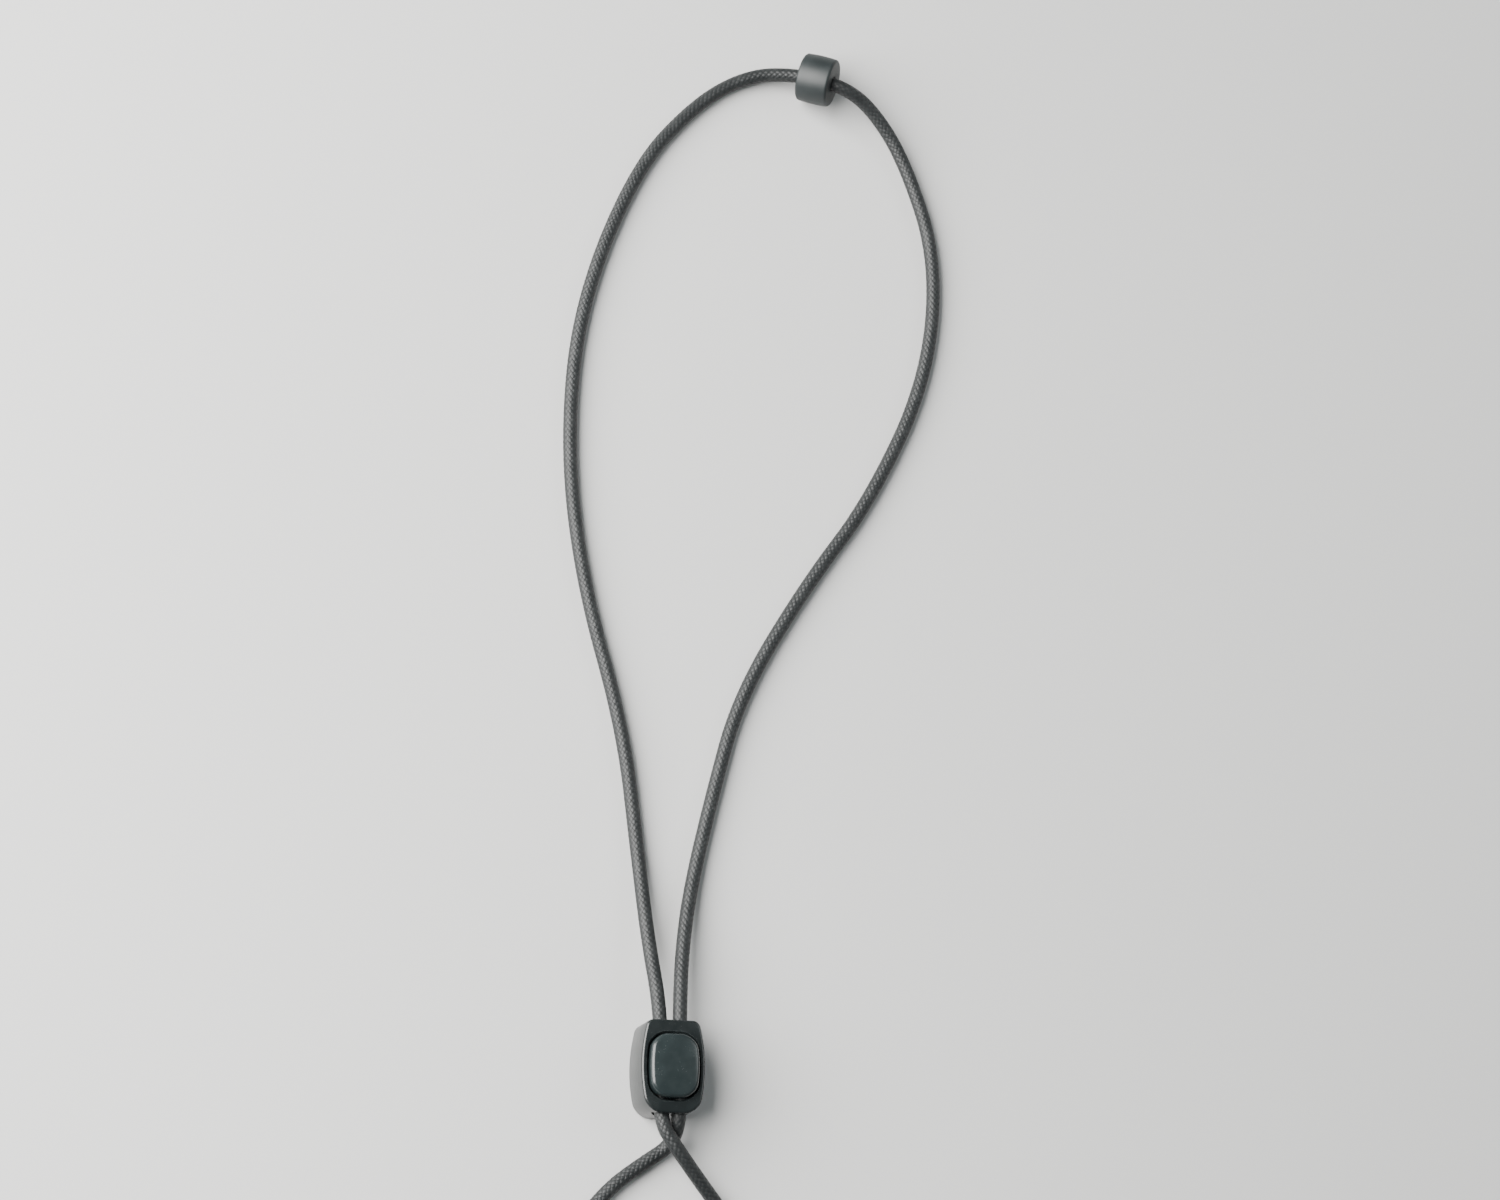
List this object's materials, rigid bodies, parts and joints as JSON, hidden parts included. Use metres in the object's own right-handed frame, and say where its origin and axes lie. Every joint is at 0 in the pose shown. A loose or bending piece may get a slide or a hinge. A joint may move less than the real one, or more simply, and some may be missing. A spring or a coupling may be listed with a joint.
{
  "type": "cord lock",
  "caption": "Small barrel-shaped front-button cord lock, spring-loaded, on a loop of round elastic drawcord closed by a moulded bead, with the hem run coiled.",
  "frame": {"origin": "centre of the lock's flat back, which lies on the surface; measured on the lock alone, without its cord and bead", "axes": "+Z out of the button, +Y along the two cord strands towards the loop, +X to the right seen from the front"},
  "size_m": [0.0866, 0.305, 0.0124],
  "materials": {
    "lock_acetal": "satin moulded dark grey",
    "button_acetal": "satin moulded dark grey",
    "spring_steel": "drawn stainless wire",
    "elastic_cord": "fine braided cover, dark grey",
    "bead_plastic": "satin moulded dark grey"
  },
  "bodies": {
    "root": {"lock_body": "lock_acetal", "cord_left": "elastic_cord", "cord_coil": "elastic_cord", "cord_right": "elastic_cord", "loop_bead": "bead_plastic", "spring": "spring_steel"},
    "button": {"button": "button_acetal"}
  },
  "joints": [
    {"name": "button_press", "type": "slide", "parent": "root", "child": "button", "axis": [0, 0, -1], "range_m": [0, 0.0018], "stiffness_N_per_m": 1500, "springref_m": -0.003, "deforming": ["spring"]}
  ]
}
